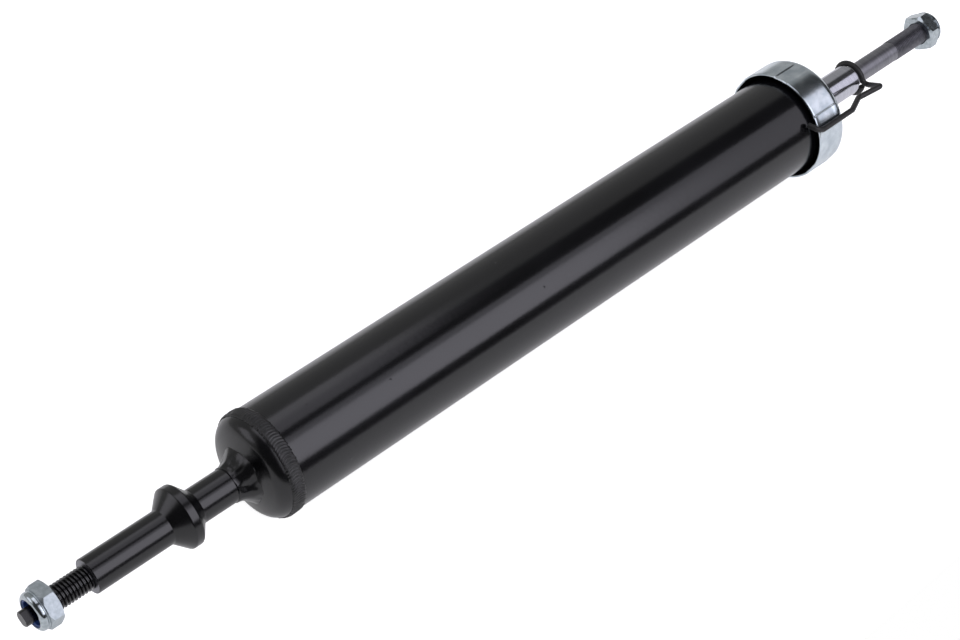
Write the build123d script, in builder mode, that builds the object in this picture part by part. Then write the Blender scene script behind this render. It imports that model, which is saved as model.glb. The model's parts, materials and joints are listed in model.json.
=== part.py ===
from build123d import *
from math import asin, cos, degrees, radians, sin, sqrt
import os

# Telescopic twin-tube shock absorber with a stem at each end, lying along +X
# The rod end points along +X, and the origin is the middle of the lower bush seat
# All sizes are in millimetres

# Lower stem
stem_r = 7.25
seat_length = 34.1
collar_r = 12.9
collar_front_length = 5.8
collar_land = 3.3
collar_rear_length = 4.9
stem_neck_length = 22.4
thread_r = 5.0
lower_thread_length = 22.4
thread_chamfer = 0.9
tang_r = 3.2
tang_length = 6.1
tang_across_flats = 5.0
tang_turn = 35.0

# Tube and its domed base
tube_r = 22.25
tube_wall = 1.5
tube_length = 317.6
tube_end_bend = 2.6
tube_lip_r = 16.5
dome_wall = 2.0
dome_crown_r = 60.0
dome_knuckle_r = 7.0
dome_skirt = 1.0
tube_bead_width = 7.0
tube_bead_height = 0.5
stem_bead_length = 6.4
stem_bead_r = 11.8
stem_bead_waist = 1.9
stem_bead_waist_back = 2.2

# Stop cap, pressed from sheet, with flutes at its rim
cap_gap = 2.15
cap_wall = 1.2
cap_depth = 18.8
cap_corner_r = 5.2
cap_hole_r = 8.6
flute_count = 6
flute_r = 9.0
flute_depth = 0.6
flute_length = 20.0
flute_turn = 27.7

# Working cylinder and foot valve
cylinder_r = 15.0
cylinder_wall = 1.5
foot_flange = 6.0
foot_spigot = 4.0
foot_skirt_wall = 2.7
foot_skirt_height = 4.9
foot_slot = 6.0
foot_disc_r = 9.0
foot_disc_thickness = 0.8
foot_rivet_r = 3.0
foot_rivet_foot_r = 5.0
foot_rivet_foot = 1.7
foot_rivet_head_r = 6.5
foot_rivet_head = 2.0
bleed_hole_r = 0.9
bleed_hole_circle = 6.8
intake_hole_r = 1.4
intake_hole_circle = 10.4
valve_hole_count = 8
valve_plate = 0.7
intake_plate_r = 12.6
valve_spring_height = 4.5
valve_spring_sheet = 0.3
valve_finger_count = 6
valve_spring_hub = 1.5
finger_gap = 3.0
finger_hub = 2.7

# Rod guide, seal and their small pieces
guide_flange = 12.0
guide_spigot = 8.0
guide_bore_gap = 0.45
bush_wall = 1.1
bush_length = 16.0
bush_set_back = 2.0
ring_cord_r = 1.25
ring_depth = 5.5
seal_height = 7.0
seal_r = 18.5
seal_lip_wall = 1.3
seal_lip_length = 3.4
seal_web = 3.0
seal_pocket_r = 12.0
seal_pocket_draft = 1.0
seal_lip_bevel = 0.5
seal_mouth_bevel = 1.0
garter_cord_r = 0.75
washer_thickness = 2.0

# Rod, with the upper bush seat and thread
rod_r = 7.15
rod_shown = 32.7
shank_r = 4.8
shank_length = 31.6
upper_thread_length = 31.0
shoulder_chamfer = 0.5
spigot_r = 4.5
spigot_length = 30.0
spigot_above_rivet = 5.5
stroke_out = 180.0
stop_gap = 0.3

# Piston
piston_length = 12.0
piston_gap = 0.15
band_length = 9.0
band_depth = 1.0
rebound_disc_r = 10.5
rebound_disc_thickness = 0.8
check_plate_r = 12.8
check_spring_height = 3.2
valve_stop_r = 9.0
valve_stop_thickness = 2.1
compression_hole_r = 1.3
compression_hole_circle = 11.4
rebound_hole_r = 0.9
rebound_hole_circle = 8.2
piston_nut_flats = 14.0
piston_nut_height = 8.0
stop_ring_r = 10.6
stop_ring_thickness = 3.0
stop_ring_edge = 0.5
bumper_r = 11.6
bumper_length = 10.0
bumper_edge = 2.0

# Lock nuts, the same at both ends
nut_flats = 16.0
nut_hex_height = 6.4
nut_height = 9.2
nut_chamfer = 0.9
nut_top_chamfer = 1.5
nut_collar_r = 7.85
nut_collar_bend = 1.9
nut_groove_r = 0.55
nut_mouth_r = 5.9
nut_mouth_lip = 0.6
insert_r = 6.4
insert_length = 2.3
lower_nut_face = 15.6
lower_nut_turn = -6.1
upper_nut_face = 52.1
upper_nut_turn = 28.3

# Retaining clip of spring wire
wire_r = 1.3
clip_ring_gap = 1.3
clip_ring_bend = 3.0
clip_end_angle = 18.0
clip_turn = 155.8
clip_elbow_r = 24.0
clip_elbow_back = 6.9
clip_hand_r = 20.6
clip_hand_back = 18.9
clip_jog_back = 31.1
clip_bend = 2.2
clip_hook_start = 1.3
clip_hook_drop = 2.0
clip_hook_swing = 3.0
clip_hook_end_drop = 3.4
clip_hook_end_swing = 10.0

# Clearances
slide_gap = 0.05
seat_gap = 0.03
touch_gap = 0.1
hook_gap = 0.2

# Places along the axis, from the lower stem up to the dome
seat_start_x = -seat_length / 2
seat_end_x = seat_length / 2
land_start_x = seat_end_x + collar_front_length
land_end_x = land_start_x + collar_land
neck_start_x = land_end_x + collar_rear_length
thread_end_x = seat_start_x - lower_thread_length
tang_end_x = thread_end_x - tang_length
dome_apex_x = neck_start_x + stem_neck_length

# Dome arcs: a crown about the axis, and a knuckle tangent to it and to the tube
knuckle_centre_r = tube_r - dome_knuckle_r
crown_to_knuckle = dome_crown_r - dome_knuckle_r
crown_angle = degrees(asin(knuckle_centre_r / crown_to_knuckle))
crown_centre_x = dome_apex_x + dome_crown_r
knuckle_x = crown_centre_x - sqrt(crown_to_knuckle**2 - knuckle_centre_r**2)
tube_start_x = knuckle_x + dome_skirt
tube_end_x = tube_start_x + tube_length
tube_bore_r = tube_r - tube_wall
dome_bore_r = dome_knuckle_r - dome_wall

# Foot valve, standing in the dome
foot_r = cylinder_r + cylinder_wall - seat_gap
foot_seat_x = knuckle_x - sqrt(dome_bore_r**2 - (foot_r - knuckle_centre_r) ** 2) + touch_gap
foot_flange_x = foot_seat_x + foot_skirt_height
cylinder_start_x = foot_flange_x + foot_flange
foot_top_x = cylinder_start_x + foot_spigot
foot_spring_x = foot_top_x + valve_plate
foot_head_x = foot_spring_x + valve_spring_height
foot_rivet_end_x = foot_head_x + foot_rivet_head

# Guide and seal, from the tube's closed end down
washer_x = tube_end_x - tube_wall - washer_thickness
seal_x = washer_x - seal_height
guide_x = seal_x - guide_flange
guide_end_x = guide_x - guide_spigot
bush_x = seal_x - bush_set_back - bush_length
ring_x = seal_x - ring_depth
garter_r = rod_r + slide_gap + seal_lip_wall + garter_cord_r

# Cap, on the tube's closed end
cap_r = tube_r + cap_gap + cap_wall
cap_end_x = tube_end_x + cap_wall
cap_rim_x = cap_end_x - cap_depth
flute_centre_r = cap_r - flute_depth + flute_r

# Rod and what it carries
shoulder_x = cap_end_x + rod_shown
upper_thread_x = shoulder_x + shank_length
rod_end_x = upper_thread_x + upper_thread_length
spigot_end_x = foot_rivet_end_x + spigot_above_rivet
rod_seat_x = spigot_end_x + spigot_length
valve_stop_x = rod_seat_x - valve_stop_thickness
check_spring_x = valve_stop_x - check_spring_height
piston_top_x = check_spring_x - valve_plate
piston_x = piston_top_x - piston_length
rebound_disc_x = piston_x - rebound_disc_thickness
piston_nut_x = rebound_disc_x - piston_nut_height
piston_r = cylinder_r - piston_gap
band_x = piston_x + (piston_length - band_length) / 2
bumper_top_x = guide_end_x - stroke_out - stop_gap
bumper_x = bumper_top_x - bumper_length
stop_ring_x = bumper_x - stop_ring_thickness

# Clip places, in the plane through the axis that holds its leg
ring_centre_r = shank_r + clip_ring_gap + wire_r
clip_x = shoulder_x + touch_gap + wire_r
leg_r = cap_r + touch_gap + wire_r
hook_end_r = tube_r + hook_gap + wire_r

os.makedirs("parts", exist_ok=True)

# Lower stem: threaded end with a tang, bush seat, double cone collar and neck
with BuildPart() as lower_stem:
    with BuildSketch(Plane.XY):
        with BuildLine():
            Polyline(
                (tang_end_x, 0),
                (tang_end_x, tang_r),
                (thread_end_x, tang_r),
                (thread_end_x, thread_r - thread_chamfer),
                (thread_end_x + thread_chamfer, thread_r),
                (seat_start_x, thread_r),
                (seat_start_x, stem_r),
                (seat_end_x, stem_r),
                (land_start_x, collar_r),
                (land_end_x, collar_r),
                (neck_start_x, stem_r),
                (dome_apex_x, stem_r),
                (dome_apex_x, 0),
                close=True,
            )
        make_face()
    revolve(axis=Axis.X)
    tang_plane = Plane(
        origin=(tang_end_x, 0, 0),
        x_dir=(0, cos(radians(tang_turn)), sin(radians(tang_turn))),
        z_dir=(1, 0, 0),
    )
    with BuildSketch(tang_plane):
        with Locations((0, tang_across_flats), (0, -tang_across_flats)):
            Rectangle(4 * tang_r, tang_across_flats)
    extrude(amount=tang_length, mode=Mode.SUBTRACT)
lower_stem.part.label = "lower_stem"
export_step(lower_stem.part, "parts/lower_stem.step")

# Domed base, pressed from sheet
with BuildPart() as base_dome:
    with BuildSketch(Plane.XY):
        with BuildLine():
            outer_crown = CenterArc((crown_centre_x, 0), dome_crown_r, 180, -crown_angle)
            outer_knuckle = CenterArc(
                (knuckle_x, knuckle_centre_r), dome_knuckle_r, 180 - crown_angle, crown_angle - 90
            )
            inner_crown = CenterArc((crown_centre_x, 0), dome_crown_r - dome_wall, 180, -crown_angle)
            inner_knuckle = CenterArc(
                (knuckle_x, knuckle_centre_r), dome_bore_r, 180 - crown_angle, crown_angle - 90
            )
            Line(outer_crown @ 0, inner_crown @ 0)
            Polyline(
                outer_knuckle @ 1,
                (tube_start_x, tube_r),
                (tube_start_x, tube_r - dome_wall),
                inner_knuckle @ 1,
            )
        make_face()
    revolve(axis=Axis.X)
base_dome.part.label = "base_dome"
export_step(base_dome.part, "parts/base_dome.step")

# Fillet weld between the stem and the dome
stem_bead_x = dome_apex_x - stem_bead_length
bead_meets_dome_x = crown_centre_x - sqrt(dome_crown_r**2 - stem_bead_r**2)
stem_meets_dome_x = crown_centre_x - sqrt(dome_crown_r**2 - stem_r**2)
with BuildPart() as stem_weld:
    with BuildSketch(Plane.XY):
        with BuildLine():
            bead_arc = RadiusArc(
                (bead_meets_dome_x, stem_bead_r), (stem_meets_dome_x, stem_r), -dome_crown_r
            )
            Line(bead_arc @ 1, (stem_bead_x, stem_r))
            Spline(
                (stem_bead_x, stem_r),
                (dome_apex_x - stem_bead_waist_back, stem_r + stem_bead_waist),
                bead_arc @ 0,
                tangents=((1, 0.3), (0.45, 1)),
            )
        make_face()
    revolve(axis=Axis.X)
stem_weld.part.label = "stem_weld"
export_step(stem_weld.part, "parts/stem_weld.step")

# Reserve tube, its end rolled in over the seal washer
with BuildPart() as reserve_tube:
    with BuildSketch(Plane.XY) as tube_profile:
        with BuildLine():
            Polyline(
                (tube_start_x, tube_bore_r),
                (tube_start_x, tube_r),
                (tube_end_x, tube_r),
                (tube_end_x, tube_lip_r),
                (tube_end_x - tube_wall, tube_lip_r),
                (tube_end_x - tube_wall, tube_bore_r),
                close=True,
            )
        make_face()
        rolled = tube_profile.vertices().group_by(Axis.X)[-1].sort_by(Axis.Y)[-1]
        fillet(rolled, tube_end_bend)
    revolve(axis=Axis.X)
reserve_tube.part.label = "reserve_tube"
export_step(reserve_tube.part, "parts/reserve_tube.step")

# Weld bead round the joint of the tube and the dome
bead_start_x = tube_start_x - tube_bead_width / 2
bead_end_x = tube_start_x + tube_bead_width / 2
with BuildPart() as dome_weld:
    with BuildSketch(Plane.XY):
        with BuildLine():
            ThreePointArc(
                (bead_start_x, tube_r), (tube_start_x, tube_r + tube_bead_height), (bead_end_x, tube_r)
            )
            Line((bead_end_x, tube_r), (bead_start_x, tube_r))
        make_face()
    revolve(axis=Axis.X)
dome_weld.part.label = "dome_weld"
export_step(dome_weld.part, "parts/dome_weld.step")

# Stop cap: the same cup inside and out, each with its flutes, one sheet apart
flute_plane = Plane(
    origin=(cap_rim_x, 0, 0),
    x_dir=(0, cos(radians(flute_turn)), sin(radians(flute_turn))),
    z_dir=(1, 0, 0),
)
with BuildPart() as cap_hollow:
    with BuildSketch(Plane.XY) as hollow_profile:
        with BuildLine():
            Polyline(
                (cap_rim_x, 0),
                (cap_rim_x, cap_r - cap_wall),
                (tube_end_x, cap_r - cap_wall),
                (tube_end_x, 0),
                close=True,
            )
        make_face()
        corner = hollow_profile.vertices().group_by(Axis.X)[-1].sort_by(Axis.Y)[-1]
        fillet(corner, cap_corner_r - cap_wall)
    revolve(axis=Axis.X)
    with BuildSketch(flute_plane):
        with PolarLocations(flute_centre_r, flute_count):
            Circle(flute_r + cap_wall)
    extrude(amount=flute_length - flute_r, mode=Mode.SUBTRACT)
    with Locations(flute_plane.offset(flute_length - flute_r)):
        with PolarLocations(flute_centre_r, flute_count):
            Sphere(flute_r + cap_wall, mode=Mode.SUBTRACT)
with BuildPart() as stop_cap:
    with BuildSketch(Plane.XY) as cap_profile:
        with BuildLine():
            Polyline(
                (cap_rim_x, 0),
                (cap_rim_x, cap_r),
                (cap_end_x, cap_r),
                (cap_end_x, 0),
                close=True,
            )
        make_face()
        corner = cap_profile.vertices().group_by(Axis.X)[-1].sort_by(Axis.Y)[-1]
        fillet(corner, cap_corner_r)
    revolve(axis=Axis.X)
    with BuildSketch(flute_plane):
        with PolarLocations(flute_centre_r, flute_count):
            Circle(flute_r)
    extrude(amount=flute_length - flute_r, mode=Mode.SUBTRACT)
    with Locations(flute_plane.offset(flute_length - flute_r)):
        with PolarLocations(flute_centre_r, flute_count):
            Sphere(flute_r, mode=Mode.SUBTRACT)
    add(cap_hollow.part, mode=Mode.SUBTRACT)
    with BuildSketch(Plane.YZ.offset(tube_end_x)):
        Circle(cap_hole_r)
    extrude(amount=cap_wall, mode=Mode.SUBTRACT)
stop_cap.part.label = "stop_cap"
export_step(stop_cap.part, "parts/stop_cap.step")

# Working cylinder, held between the foot valve and the rod guide
with BuildPart() as working_cylinder:
    with BuildSketch(Plane.YZ.offset(cylinder_start_x)):
        Circle(cylinder_r + cylinder_wall)
        Circle(cylinder_r, mode=Mode.SUBTRACT)
    extrude(amount=guide_x - cylinder_start_x)
working_cylinder.part.label = "working_cylinder"
export_step(working_cylinder.part, "parts/working_cylinder.step")

# Foot valve body: flange, spigot, and a slotted skirt that stands in the dome
with BuildPart() as foot_valve_body:
    with BuildSketch(Plane.XY):
        with BuildLine():
            Polyline(
                (foot_seat_x, foot_r - foot_skirt_wall),
                (foot_seat_x, foot_r),
                (cylinder_start_x, foot_r),
                (cylinder_start_x, cylinder_r - seat_gap),
                (foot_top_x, cylinder_r - seat_gap),
                (foot_top_x, foot_rivet_r + seat_gap),
                (foot_flange_x, foot_rivet_r + seat_gap),
                (foot_flange_x, foot_r - foot_skirt_wall),
                close=True,
            )
        make_face()
    revolve(axis=Axis.X)
    with BuildSketch(Plane.YZ.offset(foot_seat_x)):
        Rectangle(2 * cylinder_r + 4 * cylinder_wall, foot_slot)
        Rectangle(foot_slot, 2 * cylinder_r + 4 * cylinder_wall)
    extrude(amount=foot_flange_x - foot_seat_x, mode=Mode.SUBTRACT)
    with BuildSketch(Plane.YZ.offset(foot_flange_x)):
        with PolarLocations(bleed_hole_circle, valve_hole_count):
            Circle(bleed_hole_r)
        with PolarLocations(intake_hole_circle, valve_hole_count):
            Circle(intake_hole_r)
    extrude(amount=foot_top_x - foot_flange_x, mode=Mode.SUBTRACT)
foot_valve_body.part.label = "foot_valve_body"
export_step(foot_valve_body.part, "parts/foot_valve_body.step")

# Compression discs, under the foot valve body
with BuildPart() as foot_valve_discs:
    with BuildSketch(Plane.YZ.offset(foot_flange_x - foot_disc_thickness)):
        Circle(foot_disc_r)
        Circle(foot_rivet_r + seat_gap, mode=Mode.SUBTRACT)
    extrude(amount=foot_disc_thickness)
foot_valve_discs.part.label = "foot_valve_discs"
export_step(foot_valve_discs.part, "parts/foot_valve_discs.step")

# Rivet through the foot valve
rivet_foot_x = foot_flange_x - foot_disc_thickness - foot_rivet_foot
with BuildPart() as foot_valve_rivet:
    with BuildSketch(Plane.XY):
        with BuildLine():
            Polyline(
                (rivet_foot_x, 0),
                (rivet_foot_x, foot_rivet_foot_r),
                (rivet_foot_x + foot_rivet_foot, foot_rivet_foot_r),
                (rivet_foot_x + foot_rivet_foot, foot_rivet_r),
                (foot_head_x, foot_rivet_r),
                (foot_head_x, foot_rivet_head_r),
                (foot_rivet_end_x, foot_rivet_head_r),
                (foot_rivet_end_x, 0),
                close=True,
            )
        make_face()
    revolve(axis=Axis.X)
foot_valve_rivet.part.label = "foot_valve_rivet"
export_step(foot_valve_rivet.part, "parts/foot_valve_rivet.step")

# Intake plate, which lifts off the foot valve when the rod goes out
with BuildPart() as intake_plate:
    with BuildSketch(Plane.YZ.offset(foot_top_x)):
        Circle(intake_plate_r)
        Circle(foot_rivet_r + slide_gap, mode=Mode.SUBTRACT)
    extrude(amount=valve_plate)
intake_plate.part.label = "intake_plate"
export_step(intake_plate.part, "parts/intake_plate.step")

# Star spring over the intake plate: a cone of sheet, cut into fingers
intake_cone_length = valve_spring_height - valve_spring_sheet
with BuildPart() as foot_valve_spring:
    with BuildSketch(Plane.XY):
        with BuildLine():
            Polyline(
                (foot_spring_x, intake_hole_circle),
                (foot_spring_x + valve_spring_sheet, intake_hole_circle),
                (foot_head_x, foot_rivet_r + valve_spring_hub),
                (foot_head_x, foot_rivet_r + seat_gap),
                (foot_head_x - valve_spring_sheet, foot_rivet_r + seat_gap),
                (foot_head_x - valve_spring_sheet, foot_rivet_r + valve_spring_hub),
                close=True,
            )
        make_face()
    revolve(axis=Axis.X)
    with BuildSketch(Plane.YZ.offset(foot_spring_x)):
        with PolarLocations(intake_hole_circle, valve_finger_count):
            SlotOverall(2 * (intake_hole_circle - foot_rivet_r - finger_hub), finger_gap)
    extrude(amount=intake_cone_length, mode=Mode.SUBTRACT)
foot_valve_spring.part.label = "foot_valve_spring"
export_step(foot_valve_spring.part, "parts/foot_valve_spring.step")

# Rod guide, closing the cylinder and carrying the bush and the outer ring
with BuildPart() as rod_guide:
    with BuildSketch(Plane.XY):
        with BuildLine():
            Polyline(
                (guide_end_x, rod_r + guide_bore_gap),
                (guide_end_x, cylinder_r - seat_gap),
                (guide_x, cylinder_r - seat_gap),
                (guide_x, tube_bore_r - seat_gap),
                (ring_x - ring_cord_r, tube_bore_r - seat_gap),
                (ring_x - ring_cord_r, tube_bore_r - 2 * ring_cord_r),
                (ring_x + ring_cord_r, tube_bore_r - 2 * ring_cord_r),
                (ring_x + ring_cord_r, tube_bore_r - seat_gap),
                (seal_x, tube_bore_r - seat_gap),
                (seal_x, rod_r + guide_bore_gap),
                (bush_x + bush_length, rod_r + guide_bore_gap),
                (bush_x + bush_length, rod_r + bush_wall + slide_gap),
                (bush_x, rod_r + bush_wall + slide_gap),
                (bush_x, rod_r + guide_bore_gap),
                close=True,
            )
        make_face()
    revolve(axis=Axis.X)
rod_guide.part.label = "rod_guide"
export_step(rod_guide.part, "parts/rod_guide.step")

# Lined bush that the rod runs in
with BuildPart() as guide_bush:
    with BuildSketch(Plane.YZ.offset(bush_x)):
        Circle(rod_r + bush_wall)
        Circle(rod_r + slide_gap, mode=Mode.SUBTRACT)
    extrude(amount=bush_length)
guide_bush.part.label = "guide_bush"
export_step(guide_bush.part, "parts/guide_bush.step")

# Rubber ring between the guide and the tube
with BuildPart() as guide_ring:
    with BuildSketch(Plane.XY):
        with Locations((ring_x, tube_bore_r - ring_cord_r)):
            Circle(ring_cord_r - seat_gap)
    revolve(axis=Axis.X)
guide_ring.part.label = "guide_ring"
export_step(guide_ring.part, "parts/guide_ring.step")

# Rod seal, with a lip that a garter spring closes on the rod
lip_r = rod_r + slide_gap
lip_end_x = washer_x - seal_web - seal_lip_length
with BuildPart() as rod_seal:
    with BuildSketch(Plane.XY):
        with BuildLine():
            Polyline(
                (washer_x, seal_r),
                (seal_x, seal_r),
                (seal_x, seal_pocket_r),
                (washer_x - seal_web, seal_pocket_r - seal_pocket_draft),
                (washer_x - seal_web, lip_r + seal_lip_wall),
                (lip_end_x, lip_r + seal_lip_wall),
                (lip_end_x, lip_r + seal_lip_bevel),
                (lip_end_x + seal_lip_length / 2, lip_r),
                (washer_x - seal_mouth_bevel, lip_r),
                (washer_x, lip_r + seal_mouth_bevel),
                close=True,
            )
        make_face()
    revolve(axis=Axis.X)
rod_seal.part.label = "rod_seal"
export_step(rod_seal.part, "parts/rod_seal.step")

# Garter spring round the seal's lip
with BuildPart() as garter_spring:
    with BuildSketch(Plane.XY):
        with Locations((lip_end_x + seal_lip_length / 2, garter_r + seat_gap)):
            Circle(garter_cord_r)
    revolve(axis=Axis.X)
garter_spring.part.label = "garter_spring"
export_step(garter_spring.part, "parts/garter_spring.step")

# Washer under the rolled end of the tube
with BuildPart() as seal_washer:
    with BuildSketch(Plane.YZ.offset(washer_x)):
        Circle(tube_bore_r - seat_gap)
        Circle(rod_r + guide_bore_gap, mode=Mode.SUBTRACT)
    extrude(amount=washer_thickness)
seal_washer.part.label = "seal_washer"
export_step(seal_washer.part, "parts/seal_washer.step")

# Piston rod: spigot for the piston, ground rod, bush seat and upper thread
with BuildPart() as piston_rod:
    with BuildSketch(Plane.XY):
        with BuildLine():
            Polyline(
                (spigot_end_x, 0),
                (spigot_end_x, spigot_r),
                (rod_seat_x, spigot_r),
                (rod_seat_x, rod_r),
                (shoulder_x - shoulder_chamfer, rod_r),
                (shoulder_x, rod_r - shoulder_chamfer),
                (shoulder_x, shank_r),
                (upper_thread_x, shank_r),
                (upper_thread_x, thread_r),
                (rod_end_x - thread_chamfer, thread_r),
                (rod_end_x, thread_r - thread_chamfer),
                (rod_end_x, 0),
                close=True,
            )
        make_face()
    revolve(axis=Axis.X)
piston_rod.part.label = "piston_rod"
export_step(piston_rod.part, "parts/piston_rod.step")

# Piston, drilled for the two flows and grooved for its band
with BuildPart() as piston:
    with BuildSketch(Plane.XY):
        with BuildLine():
            Polyline(
                (piston_x, spigot_r + seat_gap),
                (piston_x, piston_r),
                (band_x, piston_r),
                (band_x, piston_r - band_depth),
                (band_x + band_length, piston_r - band_depth),
                (band_x + band_length, piston_r),
                (piston_top_x, piston_r),
                (piston_top_x, spigot_r + seat_gap),
                close=True,
            )
        make_face()
    revolve(axis=Axis.X)
    with BuildSketch(Plane.YZ.offset(piston_x)):
        with PolarLocations(compression_hole_circle, valve_hole_count):
            Circle(compression_hole_r)
        with PolarLocations(rebound_hole_circle, valve_hole_count):
            Circle(rebound_hole_r)
    extrude(amount=piston_length, mode=Mode.SUBTRACT)
piston.part.label = "piston"
export_step(piston.part, "parts/piston.step")

# Band round the piston, running on the cylinder wall
with BuildPart() as piston_band:
    with BuildSketch(Plane.YZ.offset(band_x + slide_gap)):
        Circle(cylinder_r - slide_gap)
        Circle(piston_r - band_depth + slide_gap, mode=Mode.SUBTRACT)
    extrude(amount=band_length - 2 * slide_gap)
piston_band.part.label = "piston_band"
export_step(piston_band.part, "parts/piston_band.step")

# Rebound discs, under the piston
with BuildPart() as piston_discs:
    with BuildSketch(Plane.YZ.offset(rebound_disc_x)):
        Circle(rebound_disc_r)
        Circle(spigot_r + seat_gap, mode=Mode.SUBTRACT)
    extrude(amount=rebound_disc_thickness)
piston_discs.part.label = "piston_discs"
export_step(piston_discs.part, "parts/piston_discs.step")

# Check plate, which lifts off the piston when the rod goes in
with BuildPart() as check_plate:
    with BuildSketch(Plane.YZ.offset(piston_top_x)):
        Circle(check_plate_r)
        Circle(spigot_r + slide_gap, mode=Mode.SUBTRACT)
    extrude(amount=valve_plate)
check_plate.part.label = "check_plate"
export_step(check_plate.part, "parts/check_plate.step")

# Star spring over the check plate
with BuildPart() as check_spring:
    with BuildSketch(Plane.XY):
        with BuildLine():
            Polyline(
                (check_spring_x, compression_hole_circle),
                (check_spring_x + valve_spring_sheet, compression_hole_circle),
                (valve_stop_x, spigot_r + valve_spring_hub),
                (valve_stop_x, spigot_r + seat_gap),
                (valve_stop_x - valve_spring_sheet, spigot_r + seat_gap),
                (valve_stop_x - valve_spring_sheet, spigot_r + valve_spring_hub),
                close=True,
            )
        make_face()
    revolve(axis=Axis.X)
    with BuildSketch(Plane.YZ.offset(check_spring_x)):
        with PolarLocations(compression_hole_circle, valve_finger_count):
            SlotOverall(2 * (compression_hole_circle - spigot_r - finger_hub), finger_gap)
    extrude(amount=check_spring_height - valve_spring_sheet, mode=Mode.SUBTRACT)
check_spring.part.label = "check_spring"
export_step(check_spring.part, "parts/check_spring.step")

# Stop washer between the rod's shoulder and the check spring
with BuildPart() as valve_stop:
    with BuildSketch(Plane.YZ.offset(valve_stop_x)):
        Circle(valve_stop_r)
        Circle(spigot_r + seat_gap, mode=Mode.SUBTRACT)
    extrude(amount=valve_stop_thickness)
valve_stop.part.label = "valve_stop"
export_step(valve_stop.part, "parts/valve_stop.step")

# Nut that clamps the piston on its spigot
with BuildPart() as piston_nut:
    with BuildSketch(Plane.YZ.offset(piston_nut_x)):
        RegularPolygon(piston_nut_flats / 2, 6, major_radius=False)
        Circle(spigot_r + seat_gap, mode=Mode.SUBTRACT)
    extrude(amount=piston_nut_height)
piston_nut.part.label = "piston_nut"
export_step(piston_nut.part, "parts/piston_nut.step")

# Ring pressed on the rod, and the bumper that meets the guide at full length
with BuildPart() as rebound_stop:
    with BuildSketch(Plane.YZ.offset(stop_ring_x)):
        Circle(stop_ring_r)
        Circle(rod_r + seat_gap, mode=Mode.SUBTRACT)
    extrude(amount=stop_ring_thickness)
    fillet(rebound_stop.edges().filter_by(GeomType.CIRCLE).sort_by(SortBy.RADIUS)[-2:], stop_ring_edge)
rebound_stop.part.label = "rebound_stop"
export_step(rebound_stop.part, "parts/rebound_stop.step")

with BuildPart() as rebound_bumper:
    with BuildSketch(Plane.YZ.offset(bumper_x)):
        Circle(bumper_r)
        Circle(rod_r + seat_gap, mode=Mode.SUBTRACT)
    extrude(amount=bumper_length)
    fillet(rebound_bumper.edges().filter_by(GeomType.CIRCLE).sort_by(SortBy.RADIUS)[-2:], bumper_edge)
rebound_bumper.part.label = "rebound_bumper"
export_step(rebound_bumper.part, "parts/rebound_bumper.step")

# Lock nuts: a chamfered hexagon, and a collar crimped over a nylon ring
nut_places = {
    "lower_nut": (seat_start_x - lower_nut_face, -1, lower_nut_turn),
    "upper_nut": (shoulder_x + upper_nut_face, 1, upper_nut_turn),
}
nut_corner_r = nut_flats / sqrt(3)
insert_start = nut_height - nut_mouth_lip - insert_length
for nut_name, (face_x, way, turn) in nut_places.items():
    hex_plane = Plane(
        origin=(face_x, 0, 0),
        x_dir=(0, cos(radians(turn)), sin(radians(turn))),
        z_dir=(way, 0, 0),
    )
    section = Plane(origin=(face_x, 0, 0), x_dir=(way, 0, 0), z_dir=(0, 0, way))
    with BuildPart() as nut:
        with BuildSketch(hex_plane):
            RegularPolygon(nut_flats / 2, 6, major_radius=False)
        extrude(amount=nut_hex_height)
        with BuildSketch(section):
            with BuildLine():
                Polyline(
                    (0, 0),
                    (0, nut_corner_r - 2 * nut_chamfer),
                    (nut_chamfer, nut_corner_r),
                    (nut_hex_height - nut_top_chamfer, nut_corner_r),
                    (nut_hex_height, nut_collar_r),
                    (nut_hex_height, 0),
                    close=True,
                )
            make_face()
        revolve(axis=Axis.X, mode=Mode.INTERSECT)
        with BuildSketch(section) as collar_profile:
            with BuildLine():
                Polyline(
                    (nut_hex_height, 0),
                    (nut_hex_height, nut_collar_r),
                    (nut_height, nut_collar_r),
                    (nut_height, 0),
                    close=True,
                )
            make_face()
            crimped = collar_profile.vertices().group_by(Axis.X)[-1].sort_by(Axis.Y)[-1]
            fillet(crimped, nut_collar_bend)
        revolve(axis=Axis.X)
        with BuildSketch(section):
            with Locations((nut_hex_height, nut_collar_r)):
                Circle(nut_groove_r)
        revolve(axis=Axis.X, mode=Mode.SUBTRACT)
        with BuildSketch(section):
            with BuildLine():
                Polyline(
                    (0, 0),
                    (0, thread_r + nut_chamfer / 2),
                    (nut_chamfer / 2, thread_r + slide_gap),
                    (insert_start, thread_r + slide_gap),
                    (insert_start, insert_r + seat_gap),
                    (insert_start + insert_length, insert_r + seat_gap),
                    (insert_start + insert_length, nut_mouth_r),
                    (nut_height, nut_mouth_r),
                    (nut_height, 0),
                    close=True,
                )
            make_face()
        revolve(axis=Axis.X, mode=Mode.SUBTRACT)
    nut.part.label = nut_name
    export_step(nut.part, f"parts/{nut_name}.step")

    with BuildPart() as insert:
        with BuildSketch(hex_plane.offset(insert_start)):
            Circle(insert_r)
            Circle(thread_r + slide_gap, mode=Mode.SUBTRACT)
        extrude(amount=insert_length)
    insert.part.label = f"{nut_name}_insert"
    export_step(insert.part, f"parts/{nut_name}_insert.step")

# Retaining clip: a ring round the shank, an arm, a leg over the cap and a hook
def clip_point(x, r, swing):
    angle = radians(clip_turn - swing)
    return (x, r * cos(angle), r * sin(angle))


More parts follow.
